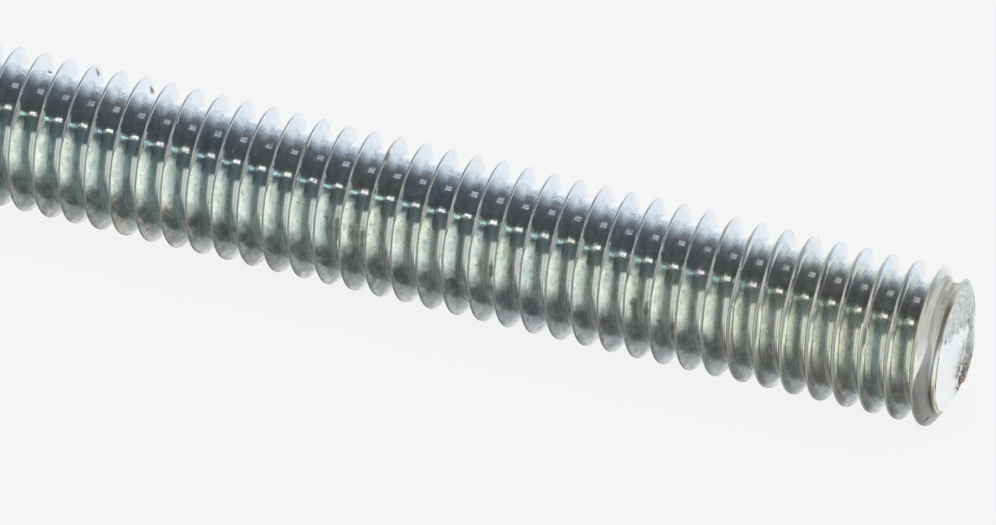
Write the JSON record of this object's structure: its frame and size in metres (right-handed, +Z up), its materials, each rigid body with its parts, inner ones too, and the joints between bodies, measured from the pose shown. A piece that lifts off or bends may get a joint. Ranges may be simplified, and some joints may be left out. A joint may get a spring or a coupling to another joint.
{
  "type": "threaded rod",
  "caption": "Short zinc-plated steel rod, threaded right-hand from end to end, with sheared and lightly bevelled ends; clamps or hangs parts between nuts.",
  "frame": {"origin": "on the rod's axis, midway between the two end faces", "axes": "+X along the rod's axis towards the sheared end that shows, +Z up with the rod lying level, +Y completes the right-handed frame"},
  "size_m": [0.08, 0.0058, 0.0058],
  "materials": {
    "zinc_plated_steel": "bright zinc plate with a faint blue and yellow tint, scuffed crests and small rust stains"
  },
  "bodies": {
    "root": {"threaded_rod": "zinc_plated_steel"}
  },
  "joints": []
}
